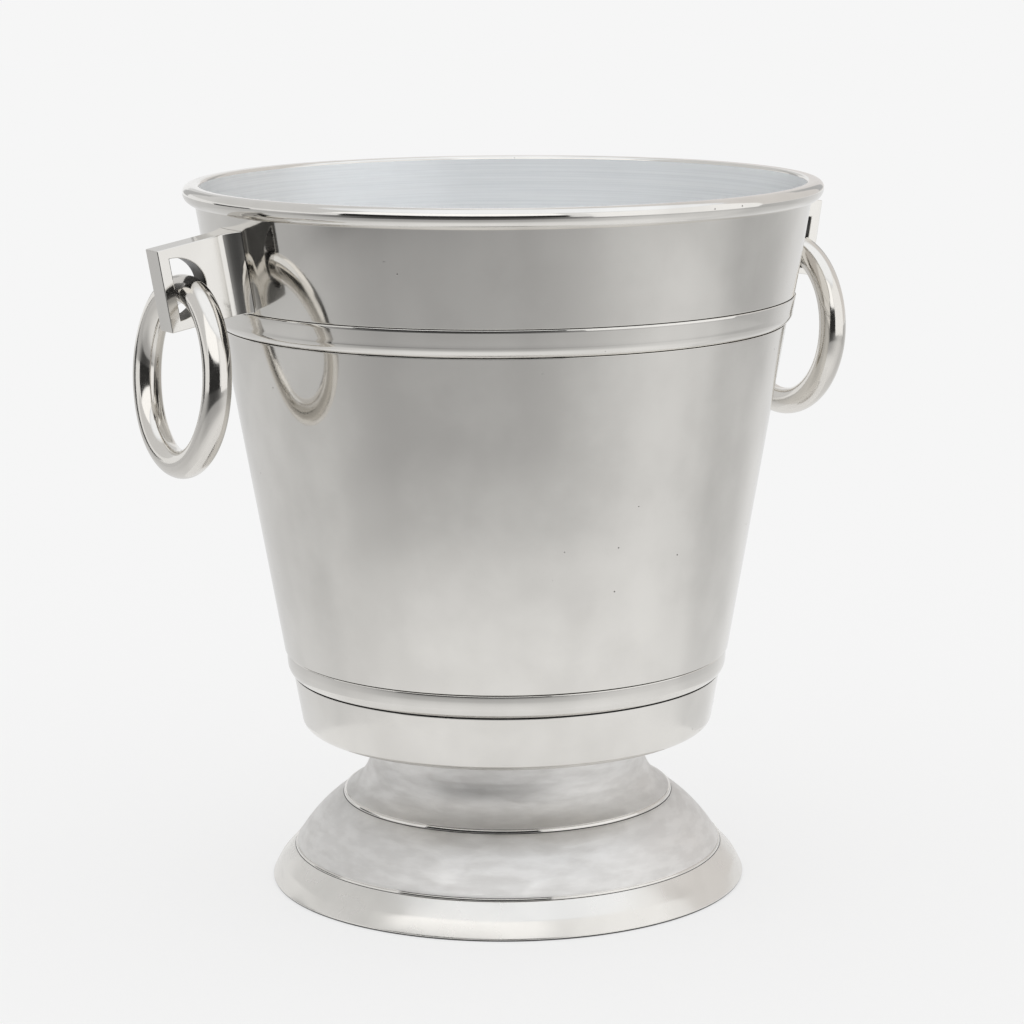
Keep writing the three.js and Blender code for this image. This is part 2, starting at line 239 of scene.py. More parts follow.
def lathe_mesh(outline, segments):
    """A bmesh turned about Z from a closed outline in millimetres."""
    bm = bmesh.new()
    rows = []
    for radius, height in outline:
        row = []
        for i in range(segments):
            angle = math.tau * i / segments
            spot = Vector((radius * math.cos(angle), radius * math.sin(angle), height))
            row.append(bm.verts.new(spot * MM))
        rows.append(row)
    for i, row in enumerate(rows):
        following = rows[(i + 1) % len(rows)]
        for j in range(segments):
            k = (j + 1) % segments
            bm.faces.new((row[j], row[k], following[k], following[j]))
    return bm


def lathe(name, outline, segments=FINE, place=None):
    """A turned piece; place, if given, is a matrix in metres."""
    bm = lathe_mesh(supported(outline), segments)
    if place is not None:
        bm.transform(place)
    return new_piece(name, bm)


def prism(name, outline, low, high):
    """A solid with the same outline in X and Y (millimetres) from one height to another."""
    bm = bmesh.new()
    floor = [bm.verts.new(Vector((x, y, low)) * MM) for x, y in outline]
    roof = [bm.verts.new(Vector((x, y, high)) * MM) for x, y in outline]
    bm.faces.new(floor)
    bm.faces.new(roof)
    for i in range(len(outline)):
        j = (i + 1) % len(outline)
        bm.faces.new((floor[i], floor[j], roof[j], roof[i]))
    return new_piece(name, bm)


def settle(piece):
    """Replace a piece's mesh by what its modifiers make of it."""
    graph = bpy.context.evaluated_depsgraph_get()
    made = bpy.data.meshes.new_from_object(piece.evaluated_get(graph))
    made.name = piece.name
    piece.modifiers.clear()
    piece.data = made


def combine(piece, other, operation):
    """Join to, or cut from, one piece the shape of another, which is then removed."""
    change = piece.modifiers.new("combine", "BOOLEAN")
    change.operation = operation
    change.solver = "EXACT"
    change.object = other
    settle(piece)
    bpy.data.objects.remove(other)


def resmooth(piece, sharp=35):
    """Smooth shading again, after cuts, with sharp edges kept sharp."""
    bm = bmesh.new()
    bm.from_mesh(piece.data)
    bmesh.ops.remove_doubles(bm, verts=bm.verts, dist=1e-7)
    bmesh.ops.dissolve_degenerate(bm, edges=bm.edges, dist=1e-8)
    for face in bm.faces:
        face.smooth = True
    for edge in bm.edges:
        wide = len(edge.link_faces) == 2 and edge.calc_face_angle() > math.radians(sharp)
        edge.smooth = not wide
    bm.to_mesh(piece.data)
    bm.free()
    even = piece.modifiers.new("even_normals", "WEIGHTED_NORMAL")
    even.keep_sharp = True
    even.weight = 100


def hexagon(corner_radius):
    """Six corners in X and Y."""
    return round_arc((0, 0), corner_radius, 0, 300, 5)


def coat(piece, *materials):
    """Give a piece its materials; the first is used unless a face says otherwise."""
    piece.data.materials.clear()
    for material in materials:
        piece.data.materials.append(material)


# ------------------------------------------------------------------ bowl and bands
def bowl_outline():
    """Outside from the bolt hole up over the bead, then inside back down to the hole."""
    corner_height = BOWL_BOTTOM + BOWL_CORNER
    corner = (on_line(SKIRT, corner_height) - BOWL_CORNER, corner_height)
    low, high, depth = LOWER_SEAT
    lower_groove = rounded([
        (on_line(SKIRT, low - 4), low - 4, 0),
        (on_line(SKIRT, low), low, 0.25),
        (on_line(LOWER_WALL, low) - depth, low, 0.1),
        (on_line(LOWER_WALL, high) - depth, high, 0.1),
        (on_line(LOWER_WALL, high), high, 0.25),
        (on_line(LOWER_WALL, high + 4), high + 4, 0),
    ])
    low, high, depth = UPPER_SEAT
    upper_groove = rounded([
        (on_line(LOWER_WALL, low - 4), low - 4, 0),
        (on_line(LOWER_WALL, low), low, 0.2),
        (on_line(LOWER_WALL, low) - depth, low, 0.1),
        (on_line(LOWER_WALL, high) - depth, high, 0.1),
        (on_line(UPPER_WALL, high), high, 0.25),
        (on_line(UPPER_WALL, high + 4), high + 4, 0),
    ])
    bead_under = arc(BEAD, (BEAD_OUT, BEAD_DOWN), -50, 0, 14)
    cove = bowed((on_line(UPPER_WALL, COVE_FOOT), COVE_FOOT), bead_under[0], 0.3, 8)
    bead_over = arc(BEAD, (BEAD_OUT, BEAD_UP), 0, 100, 24)
    lip_width = 1.6
    lip_height = BEAD[1] + BEAD_UP - INNER_TOP[1] - 0.05
    lip = arc((INNER_TOP[0] + lip_width, INNER_TOP[1]), (lip_width, lip_height), 84, 175, 8)
    inside_corner = (INNER_LOW[0] - FLOOR_ROUND, INNER_LOW[1])
    return [
        (BOLT_HOLE, BOWL_BOTTOM),
        *round_arc(corner, BOWL_CORNER, -90, -10, 10),
        *lower_groove,
        *upper_groove,
        *cove[:-1],
        *bead_under[:-1],
        *bead_over,
        *lip,
        *round_arc(inside_corner, FLOOR_ROUND, -11, -90, 12),
        (BOLT_HOLE, BOWL_FLOOR),
    ]


def paint_bowl(bowl):
    """The inside takes the brushed material, coloured brighter as painted light, and the grooves behind
    the bands the painted-shade one.
    """
    for face in bowl.data.polygons:
        radius = math.hypot(face.center.x, face.center.y) / MM
        height = face.center.z / MM
        inward = face.normal.x * face.center.x + face.normal.y * face.center.y < 0
        on_wall = inward and radius < INNER_TOP[0] + 0.1 and BOWL_FLOOR < height < INNER_TOP[1]
        on_floor = face.normal.z > 0.5 and abs(height - BOWL_FLOOR) < FLOOR_ROUND
        if (on_wall or on_floor) and radius > BOLT_HOLE + 0.05:
            face.material_index = 1
        # painted shade in the grooves behind the bands
        for low, high, depth in (UPPER_SEAT, LOWER_SEAT):
            deep = on_line(LOWER_WALL, height) - depth / 3
            if low - 0.1 < height < high + 0.1 and deep - depth < radius < deep:
                face.material_index = 2


def make_bowl():
    bowl = lathe("bowl_casting", bowl_outline())
    coat(bowl, polished_nickel(), brushed_nickel_painted_bright(), painted_shade_nickel())
    paint_bowl(bowl)
    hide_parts("bowl")
    return bowl


def make_upper_band():
    """A strap with a long face that follows the wall, then a round lip that turns in."""
    low, high = UPPER_BAND
    seat = [(on_line(LOWER_WALL, height) - UPPER_SEAT[2] + GAP, height) for height in (high, low)]
    face = bowed((108.95, low + 4.0), (109.95, high - 0.35), 0.05, 6)
    lip = bowed((on_line(LOWER_WALL, low) + 0.25, low + 0.35), face[0], 0.55, 10)
    top = round_arc((109.7, high - 0.3), 0.28, 10, 90, 5)
    band = lathe("upper_band_strap", [
        seat[1],
        (on_line(LOWER_WALL, low) - 0.2, low),
        *lip[:-1],
        *face[:-1],
        *top,
        seat[0],
    ])
    coat(band, polished_nickel())
    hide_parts("upper_band")
    return band


def make_lower_band():
    """A low bead: an upright face with a soft top edge and a round lip that turns in."""
    low, high = LOWER_BAND
    seat = [(on_line(LOWER_WALL, height) - LOWER_SEAT[2] + GAP, height) for height in (high, low)]
    face = bowed((84.2, low + 4.1), (84.35, high - 0.9), 0.08, 6)
    lip = bowed((on_line(SKIRT, low) + 0.45, low + 0.35), face[0], 0.4, 10)
    top = round_arc((83.7, high - 0.75), 0.68, 5, 100, 8)
    band = lathe("lower_band_bead", [
        seat[1],
        (on_line(SKIRT, low) - 0.1, low),
        *lip[:-1],
        *face[:-1],
        *top,
        seat[0],
    ])
    coat(band, polished_nickel())
    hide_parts("lower_band")
    return band


# -------------------------------------------------------------------------- foot
def small_lip(corner, size):
    """A small upright lip, with a fine crease under it and a step down behind it."""
    x, y = corner
    return [
        (x + 0.55 * size, y - size),
        (x - 0.35 * size, y - 0.8 * size),
        *bowed((x + 0.22 * size, y - 0.6 * size), (x - 0.02 * size, y + 0.35 * size), 0.05 * size, 4),
        *round_arc((x - 0.62 * size, y + 0.3 * size), 0.6 * size, 20, 85, 4),
        (x - 1.15 * size, y + 0.78 * size),
        (x - 1.2 * size, y + 1.2 * size),
    ]


def foot_outline():
    """Outside from the base up to the plate under the bowl, then the hollow back down."""
    bend_radius, bend_height = FLANGE_BEND
    flange_lip = small_lip(FLANGE_STEP, FLANGE_LIP)
    neck_lip = small_lip(NECK_STEP, NECK_LIP)
    flange = [
        (FOOT_RADIUS - 0.7, 0.0),
        *round_arc((FOOT_RADIUS - 0.8, 0.8), 0.8, -60, 25, 6),
        *bowed((FOOT_RADIUS - 0.15, 1.3), (bend_radius + 0.22, bend_height - 0.35), 0.06, 5),
        *bowed((bend_radius - 0.3, bend_height + 0.32), flange_lip[0], 0.06, 5)[:-1],
    ]
    dome = bowed(flange_lip[-1], neck_lip[0], 1.5, 20)[1:-1]
    neck = [
        *bowed(neck_lip[-1], (NECK_RADIUS, NECK_TOP), -1.8, 16)[1:],
        *bowed((NECK_RADIUS - 0.25, NECK_TOP + 2), (NECK_RADIUS + 0.6, BOWL_BOTTOM - GAP), -0.25, 4),
    ]
    neck_inside = NECK_RADIUS - FOOT_WALL
    stand_inside = FOOT_RADIUS - STAND_WIDTH
    under_neck = (NECK_STEP[0] - 4.4, NECK_STEP[1] - 1.6)
    dome_top = (NECK_STEP[0] - 3, NECK_STEP[1] - 4)
    dome_low = (FLANGE_STEP[0] - 4.65, FLANGE_STEP[1] - 0.7)
    under_flange = (FLANGE_STEP[0] - 3.65, FLANGE_STEP[1] - 2.1)
    hollow = [
        (BOLT_HOLE, BOWL_BOTTOM - GAP),
        (BOLT_HOLE, WEB),
        *round_arc((neck_inside - WEB_CORNER, WEB - WEB_CORNER), WEB_CORNER, 90, 5, 6),
        *bowed((neck_inside, WEB - WEB_CORNER - 1), under_neck, 1.6, 10),
        *bowed(dome_top, dome_low, -1.4, 10),
        *bowed(under_flange, (stand_inside - 0.3, 0.5), 0.3, 6),
        (stand_inside, 0.0),
    ]
    return [*flange, *flange_lip, *dome, *neck_lip, *neck, *hollow]


def paint_foot(foot):
    """The dome and waist turn satin, the flange is rubbed, the creases and lowest edge take painted shade.
    """
    flange_top = FLANGE_STEP[1] + FLANGE_LIP * 1.2
    neck_low = NECK_STEP[1] - NECK_LIP
    neck_high = NECK_STEP[1] + NECK_LIP * 1.2
    for face in foot.data.polygons:
        height = face.center.z / MM
        radius = math.hypot(face.center.x, face.center.y) / MM
        if face.normal.x * face.center.x + face.normal.y * face.center.y < 0 and height < WEB:
            continue
        if flange_top < height < neck_low or height > neck_high:
            face.material_index = 1
        # painted shade in the creases under the two lips
        for (lip_radius, lip_height), size in ((FLANGE_STEP, FLANGE_LIP), (NECK_STEP, NECK_LIP)):
            level = (height - lip_height) / size
            if -1 < level < -0.6 and radius > lip_radius - 2 * size:
                face.material_index = 2
        if CONTACT_SHADOW_HEIGHT < height < FLANGE_STEP[1] - FLANGE_LIP:
            face.material_index = 3
        # painted contact shadow: the lowest edge takes the painted-shade material
        if height <= CONTACT_SHADOW_HEIGHT:
            face.material_index = 2


def make_foot():
    foot = lathe("foot_casting", foot_outline())
    coat(foot, polished_nickel(), satin_nickel(), painted_shade_nickel(), rubbed_nickel())
    paint_foot(foot)
    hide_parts("foot")
    return foot


# --------------------------------------------------------------------- fasteners
def threaded_screw(name, radius, pitch, length, head, place):
    """A domed screw with a hex socket: flat under the head at zero, the shank along -Z."""
    head_radius, head_height = head
    rows_per_turn = 8
    thread_low = -length + radius * 0.4
    thread_high = -pitch * 2
    count = int((thread_high - thread_low) / pitch * rows_per_turn)
    shank = [(radius, thread_low + (thread_high - thread_low) * i / count) for i in range(count + 1)]
    dome = bowed((head_radius, head_height * 0.4), (0, head_height), head_height * 0.2, 10)
    outline = [
        (0, -length),
        (radius * 0.72, -length),
        *shank,
        (radius, -0.1),
        (radius + 0.1, 0),
        (head_radius - 0.15, 0),
        (head_radius, 0.15),
        *dome,
    ]
    bm = lathe_mesh(outline, 48)
    for vertex in bm.verts:
        height = vertex.co.z / MM
        around = math.hypot(vertex.co.x, vertex.co.y) / MM
        if thread_low + pitch / 2 < height < thread_high - pitch / 2 and abs(around - radius) < 0.01:
            turn = math.atan2(vertex.co.y, vertex.co.x) / math.tau
            phase = (height / pitch - turn) % 1
            depth = 0.55 * pitch * (1 - abs(2 * phase - 1))
            vertex.co.x *= 1 - depth / radius
            vertex.co.y *= 1 - depth / radius
    screw = new_piece(name, bm)
    socket = prism("socket", hexagon(head_radius * 0.42), head_height * 0.35, head_height * 2)
    combine(screw, socket, "DIFFERENCE")
    screw.data.transform(place)
    resmooth(screw)
    coat(screw, turned_steel())
    return screw


def washer(name, radii, heights, material, place=None):
    """A flat ring with softened edges, between two radii and two heights."""
    inner, outer = radii
    low, high = heights
    soft = min(0.25, (high - low) / 4)
    corners = [(inner, low, soft / 2), (outer, low, soft), (outer, high, soft), (inner, high, soft / 2)]
    ring = lathe(name, rounded(corners, 3), 96, place)
    coat(ring, material)
    return ring


def height_of(node):
    """Lowest and highest point of a frame node, in millimetres."""
    low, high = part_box(node)
    return low.z / MM, high.z / MM


def make_foot_fasteners():
    bolt_low, bolt_high = height_of("foot_bolt")
    washer_low, washer_high = height_of("foot_bolt_washer")
    head_low = washer_high + GAP
    head = (BOLT_HEAD_RADIUS, bolt_high - head_low)
    stand = Matrix.Translation((0, 0, head_low * MM))
    bolt = threaded_screw("foot_bolt_m8", BOLT_RADIUS, BOLT_PITCH, head_low - bolt_low, head, stand)
    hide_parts("foot_bolt")
    under_head = washer("foot_bolt_plain_washer", (BOLT_HOLE, BOLT_WASHER_RADIUS),
                        (washer_low, washer_high), turned_steel())
    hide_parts("foot_bolt_washer")
    gasket = washer("foot_bolt_rubber_gasket", (BOLT_HOLE, GASKET_RADIUS),
                    height_of("foot_bolt_gasket"), seal_rubber())
    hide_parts("foot_bolt_gasket")
    nut_washer = washer("foot_nut_plain_washer", (BOLT_HOLE, NUT_WASHER_RADIUS),
                        height_of("foot_nut_washer"), turned_steel())
    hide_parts("foot_nut_washer")
    nut = make_nut(*height_of("foot_nut"))
    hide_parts("foot_nut")
    return [bolt, under_head, gasket, nut_washer, nut]


def make_nut(low, high):
    """A hex nut with chamfered corners and a chamfered bore."""
    nut = prism("foot_nut_m8", hexagon(NUT_CORNER), low, high)
    wide, narrow = NUT_CORNER * 1.02, NUT_CORNER * 0.86
    chamfer = lathe("chamfer", [
        (0, low), (narrow, low), (wide, low + 0.9),
        (wide, high - 0.9), (narrow, high), (0, high),
    ], 96)
    combine(nut, chamfer, "INTERSECT")
    mouth = BOLT_HOLE + 1.6
    bore = lathe("bore", [
        (0, low - 1), (mouth, low - 1), (BOLT_HOLE, low + 0.6),
        (BOLT_HOLE, high - 0.6), (mouth, high + 1), (0, high + 1),
    ], 64)
    combine(nut, bore, "DIFFERENCE")
    resmooth(nut, 20)
    coat(nut, turned_steel())
    return nut


# -------------------------------------------------------------------------- lugs
def side_turn(side):
    return Matrix.Rotation(0 if side == "right" else math.pi, 4, "Z")


def lug_place():
    """The right lug's own frame: X out of the wall, Y along it and Z up it."""
    root = Matrix.Translation((LUG_ROOT * MM, 0, LUG_HEIGHT_ON_WALL * MM))
    return root @ Matrix.Rotation(LUG_TILT, 4, "Y")


def lug_plan():
    """The plate seen from above, its root spread by two hollow curves."""
    half = LUG_THICKNESS / 2
    turn = math.radians(LUG_FLARE_TURN)
    start = LUG_FLARE * math.sin(turn)
    root_half = half + LUG_FLARE * (1 - math.cos(turn))
    near = round_arc((start, -half - LUG_FLARE), LUG_FLARE, 90 + LUG_FLARE_TURN, 90, 14)
    far = round_arc((start, half + LUG_FLARE), LUG_FLARE, -90, -90 - LUG_FLARE_TURN, 14)
    return [(-4, -root_half), *near, (LUG_LENGTH, -half), (LUG_LENGTH, half), *far, (-4, root_half)]


def slot_cutter(half_height):
    """The D-shaped slot: flat side outward, round side towards the wall."""
    flat = LUG_LENGTH - SLOT_POST
    outline = arc((flat, 0), (SLOT_DEPTH, half_height), 90, 270, 40)
    cutter = prism("slot", outline, -LUG_THICKNESS, LUG_THICKNESS)
    cutter.data.transform(Matrix.Rotation(math.radians(90), 4, "X"))
    return cutter


def paint_slot_shade(lug, half_height):
    """The slot's inside takes the lug's second material, as painted shade in the recess."""
    flat = LUG_LENGTH - SLOT_POST
    for face in lug.data.polygons:
        x, y, z = face.center / MM
        inside = ((flat - x) / SLOT_DEPTH) ** 2 + (z / half_height) ** 2 < 1.03
        if inside and x < flat + 0.05 and abs(face.normal.y) < 0.3:
            face.material_index = 1


def make_lug(side):
    half_height = SLOT_HALF_HEIGHT[side]
    low = PLATE_RAISE[side] - LUG_HEIGHT / 2
    lug = prism(f"{side}_lug_plate", lug_plan(), low, low + LUG_HEIGHT)
    combine(lug, slot_cutter(half_height), "DIFFERENCE")
    soften = lug.modifiers.new("soften", "BEVEL")
    soften.width = LUG_EDGE * MM
    soften.segments = 5
    soften.limit_method = "ANGLE"
    soften.angle_limit = math.radians(35)
    settle(lug)
    low = LUG_HEIGHT_ON_WALL - LUG_HEIGHT
    high = LUG_HEIGHT_ON_WALL + LUG_HEIGHT
    seam = 0.12
    wall = lathe("wall", [
        (0, low), (on_line(UPPER_WALL, low) + seam, low),
        (on_line(UPPER_WALL, high) + seam, high), (0, high),
    ], 720)
    wall.data.transform(lug_place().inverted())
    combine(lug, wall, "DIFFERENCE")
    coat(lug, polished_nickel(), painted_shade_nickel())
    paint_slot_shade(lug, half_height)
    lug.data.transform(side_turn(side) @ lug_place())
    resmooth(lug, 30)
    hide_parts(f"{side}_lug")
    return lug


def make_lug_fasteners(side):
    """Two screws with washers, from the inside of the bowl into the lug."""
    pieces = []
    head_at = -WALL_AT_LUG - 0.4 - GAP - SCREW_WASHER_THICKNESS - GAP
    inward = Matrix.Rotation(math.radians(-90), 4, "Y")
    turned_over = Matrix.Rotation(math.pi, 4, "X")
    for level, height in (("upper", SCREW_OFFSET), ("lower", -SCREW_OFFSET)):
        stand = side_turn(side) @ lug_place() @ Matrix.Translation((head_at * MM, 0, height * MM)) @ inward
        screw = threaded_screw(f"{side}_lug_screw_{level}_m4", SCREW_RADIUS, SCREW_PITCH,
                               SCREW_REACH - head_at, SCREW_HEAD, stand)
        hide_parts(f"{side}_lug_screw_{level}")
        ring = washer(f"{side}_lug_washer_{level}_m4", (SCREW_RADIUS + 0.4, SCREW_WASHER_RADIUS),
                      (GAP, GAP + SCREW_WASHER_THICKNESS), turned_steel(), stand @ turned_over)
        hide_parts(f"{side}_lug_washer_{level}")
        pieces += [screw, ring]
    return pieces


# ------------------------------------------------------------------------- rings
def make_ring(side):
    """A round bar bent into a ring and brazed shut; a faint seam stays in the slot."""
    around, across = 256, 64
    bm = bmesh.new()
    rows = []
    for i in range(around):
        turn = math.tau * i / around
        seam = 0.07 * math.exp(-((i - 9) / 0.8) ** 2)
        forged = 0.035 * math.sin(3 * turn + 0.7) + 0.02 * math.sin(7 * turn)
        bar = BAR_RADIUS - 0.05 - seam + forged
        row = []
        for j in range(across):
            angle = math.tau * j / across
            reach = RING_RADIUS + bar * math.cos(angle)
            spot = (bar * math.sin(angle), reach * math.sin(turn), reach * math.cos(turn) - RING_RADIUS)
            row.append(bm.verts.new(Vector(spot) * MM))
        rows.append(row)
    for i, row in enumerate(rows):
        following = rows[(i + 1) % around]
        for j in range(across):
            k = (j + 1) % across
            bm.faces.new((row[j], row[k], following[k], following[j]))
    lean, twist = (math.radians(value) for value in RING_POSES[side])
    pivot = lug_place() @ Vector((PIVOT_OUT * MM, 0, -PIVOT_DROP * MM))
    hang = Matrix.Translation(pivot) @ Matrix.Rotation(twist, 4, "Z") @ Matrix.Rotation(-lean, 4, "Y")
    bm.transform(side_turn(side) @ hang)
    ring = new_piece(f"{side}_ring_bar", bm)
    coat(ring, ring_nickel())
    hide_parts(f"{side}_ring")
    return ring


# --------------------------------------------------------------------- materials
class Recipe:
    """A material being made from nodes."""

    def __init__(self, name):
        self.material = bpy.data.materials.new(name)
        self.material.use_nodes = True
        self.tree = self.material.node_tree
        self.shader = self.tree.nodes["Principled BSDF"]

    def add(self, kind, **values):
        made = self.tree.nodes.new("ShaderNode" + kind)
        for key, value in values.items():
            if hasattr(made, key):
                setattr(made, key, value)
            else:
                made.inputs[key.replace("_", " ")].default_value = value
        return made

    def link(self, output, socket):
        self.tree.links.new(output, socket)

    def place(self, scale):
        """Object coordinates, stretched."""
        coordinates = self.add("TexCoord")
        mapping = self.add("Mapping", Scale=scale)
        self.link(coordinates.outputs["Object"], mapping.inputs["Vector"])
        return mapping.outputs["Vector"]

    def noise(self, where, scale, detail=2.0):
        made = self.add("TexNoise", Scale=scale, Detail=detail)
        self.link(where, made.inputs["Vector"])
        return made.outputs["Fac"]

    def sum(self, first, second, weight):
        """first + weight * second"""
        made = self.add("Math", operation="MULTIPLY_ADD")
        self.link(second, made.inputs[0])
        made.inputs[1].default_value = weight
        self.link(first, made.inputs[2])
        return made.outputs[0]

    def spread(self, value, low, high, new_low, new_high):
        """A value moved smoothly from one range to another."""
        made = self.add("MapRange", interpolation_type="SMOOTHSTEP")
        self.link(value, made.inputs["Value"])
        limits = {"From Min": low, "From Max": high, "To Min": new_low, "To Max": new_high}
        for key, number in limits.items():
            made.inputs[key].default_value = number
        return made.outputs["Result"]

    def multiply(self, first, second):
        made = self.add("Math", operation="MULTIPLY")
        self.link(first, made.inputs[0])
        self.link(second, made.inputs[1])
        return made.outputs[0]

    def tint(self, value, dark, light):
        """A colour between two, chosen by a value."""
        made = self.add("ValToRGB")
        made.color_ramp.elements[0].color = (*dark, 1)
        made.color_ramp.elements[1].color = (*light, 1)
        self.link(value, made.inputs["Fac"])
        return made.outputs["Color"]

    def bump(self, height, distance, strength=1.0, below=None):
        made = self.add("Bump", Distance=distance, Strength=strength)
        self.link(height, made.inputs["Height"])
        if below is not None:
            self.link(below, made.inputs["Normal"])
        return made.outputs["Normal"]

    def spread_evenly(self, value, low, high):
        """A value moved from a range to 0..1."""
        made = self.add("MapRange")
        self.link(value, made.inputs["Value"])
        made.inputs["From Min"].default_value = low
        made.inputs["From Max"].default_value = high
        return made.outputs["Result"]

    def finish_glow(self, strength, colour=(1, 1, 1)):
        """Use the recipe for a glowing surface instead."""
        glow = self.add("Emission", Color=(*colour, 1))
        self.link(strength, glow.inputs["Strength"])
        out = self.tree.nodes["Material Output"]
        self.link(glow.outputs["Emission"], out.inputs["Surface"])
        self.tree.nodes.remove(self.shader)
        return self.material

    def finish(self, colour, roughness, normal):
        self.link(colour, self.shader.inputs["Base Color"])
        self.link(roughness, self.shader.inputs["Roughness"])
        self.link(normal, self.shader.inputs["Normal"])
        return self.material


def made_once(maker):
    """Share one material between the pieces that use it."""
    kept = []

    def wrapped():
        if not kept:
            kept.append(maker())
        return kept[0]
    return wrapped


def pits(recipe, scale, rarity):
    """Small casting pits: 1 inside a pit, 0 elsewhere."""
    where = recipe.place((1, 1, 1))
    cells = recipe.add("TexVoronoi", Scale=scale)
    recipe.link(where, cells.inputs["Vector"])
    inside = recipe.spread(cells.outputs["Distance"], 0.05, 0.11, 1, 0)
    apart = recipe.add("SeparateColor")
    recipe.link(cells.outputs["Color"], apart.inputs["Color"])
    chosen = recipe.spread(apart.outputs["Red"], rarity, rarity + 0.02, 0, 1)
    patches = recipe.spread(recipe.noise(where, 30, 1), 0.5, 0.62, 0, 1)
    return recipe.multiply(recipe.multiply(inside, chosen), patches)


def buffed(name, smooth, hazy, rarity):
    """Cast metal, nickel plated and buffed by hand, gently uneven.

    Takes the two limits of its roughness and how rare its pits are (1 is none at all).
    """
    recipe = Recipe(name)
    recipe.shader.inputs["Metallic"].default_value = 1
    slow = recipe.noise(recipe.place((1, 1, 0.3)), 22, 1)
    streaks = recipe.noise(recipe.place((1, 1, 0.05)), 160, 3)
    haze = recipe.noise(recipe.place((1, 1, 1)), 45, 4)
    veils = recipe.noise(recipe.place((1, 1, 0.1)), 34, 2)
    holes = pits(recipe, 300, rarity)
    cloudy = recipe.spread(recipe.sum(haze, veils, 1.0), 0.7, 1.3, 0, 1)
    clean = recipe.tint(cloudy, (0.715, 0.698, 0.667), (0.79, 0.773, 0.74))
    darker = recipe.add("MixRGB", Color2=(0.16, 0.15, 0.14, 1))
    recipe.link(clean, darker.inputs["Color1"])
    recipe.link(holes, darker.inputs["Fac"])
    satin = recipe.sum(recipe.spread(haze, 0.35, 0.7, smooth, hazy), streaks, 0.03)
    rough = recipe.sum(satin, holes, 0.4)
    shape = recipe.bump(slow, 0.0012, 0.5)
    shape = recipe.bump(streaks, 0.000012, 0.5, shape)
    shape = recipe.bump(holes, -0.0002, 1.0, shape)
    return recipe.finish(darker.outputs["Color"], rough, shape)


@made_once
def polished_nickel():
    """Nearly a mirror."""
    return buffed("polished_nickel", 0.05, 0.10, 0.93)


@made_once
def rubbed_nickel():
    """Softer: the base, where cloths and tables have rubbed it."""
    return buffed("rubbed_nickel", 0.2, 0.28, 0.99)


@made_once
def satin_nickel():
    """The same metal on the dome and waist, where the buffing wheel left it satin and cloudy."""
    recipe = Recipe("satin_nickel")
    recipe.shader.inputs["Metallic"].default_value = 1
    slow = recipe.noise(recipe.place((1, 1, 0.6)), 26, 1)
    swirls = recipe.add("TexNoise", Scale=40, Detail=6, Distortion=1.2)
    recipe.link(recipe.place((1, 1, 3.2)), swirls.inputs["Vector"])
    grain = recipe.noise(recipe.place((1, 1, 4)), 420, 3)
    strokes = recipe.noise(recipe.place((1, 1, 4)), 95, 5)
    cloudy = recipe.sum(recipe.spread(strokes, 0.35, 0.65, 0, 0.5), swirls.outputs["Fac"], 0.5)
    colour = recipe.tint(cloudy, (0.68, 0.667, 0.65), (0.80, 0.79, 0.775))
    rough = recipe.sum(recipe.spread(swirls.outputs["Fac"], 0.35, 0.65, 0.54, 0.4), grain, 0.06)
    shape = recipe.bump(slow, 0.0012, 0.5)
    shape = recipe.bump(swirls.outputs["Fac"], 0.00035, 0.5, shape)
    shape = recipe.bump(strokes, 0.00012, 0.5, shape)
    shape = recipe.bump(grain, 0.00001, 0.5, shape)
    return recipe.finish(colour, rough, shape)


@made_once
def painted_shade_nickel():
    """Creases and the insides of slots: nickel coloured near black as painted shade."""
    recipe = Recipe("painted_shade_nickel")
    recipe.shader.inputs["Metallic"].default_value = 1
    cloud = recipe.noise(recipe.place((1, 1, 1)), 130, 3)
    grain = recipe.noise(recipe.place((1, 1, 1)), 900, 3)
    # painted shade: a very dark colour standing in for the shade in creases, grooves, slots and along the
    # table
    colour = recipe.tint(cloud, (0.035, 0.036, 0.038), (0.12, 0.118, 0.115))
    rough = recipe.sum(recipe.spread(cloud, 0.3, 0.7, 0.34, 0.2), grain, 0.06)
    return recipe.finish(colour, rough, recipe.bump(grain, 0.00003, 0.6))


@made_once
def ring_nickel():
    """The rings' nickel: bright, with fine polishing lines and a few rubbed patches."""
    recipe = Recipe("ring_nickel")
    recipe.shader.inputs["Metallic"].default_value = 1
    slow = recipe.noise(recipe.place((1, 1, 1)), 40, 1)
    rubbed = recipe.noise(recipe.place((1, 1, 1)), 120, 4)
    lines = recipe.noise(recipe.place((9, 1, 1)), 260, 2)
    colour = recipe.tint(rubbed, (0.725, 0.700, 0.660), (0.770, 0.748, 0.710))
    rough = recipe.sum(recipe.spread(rubbed, 0.4, 0.7, 0.09, 0.14), lines, 0.02)
    shape = recipe.bump(slow, 0.0007, 0.5)
    shape = recipe.bump(lines, 0.000006, 0.5, shape)
    return recipe.finish(colour, rough, shape)


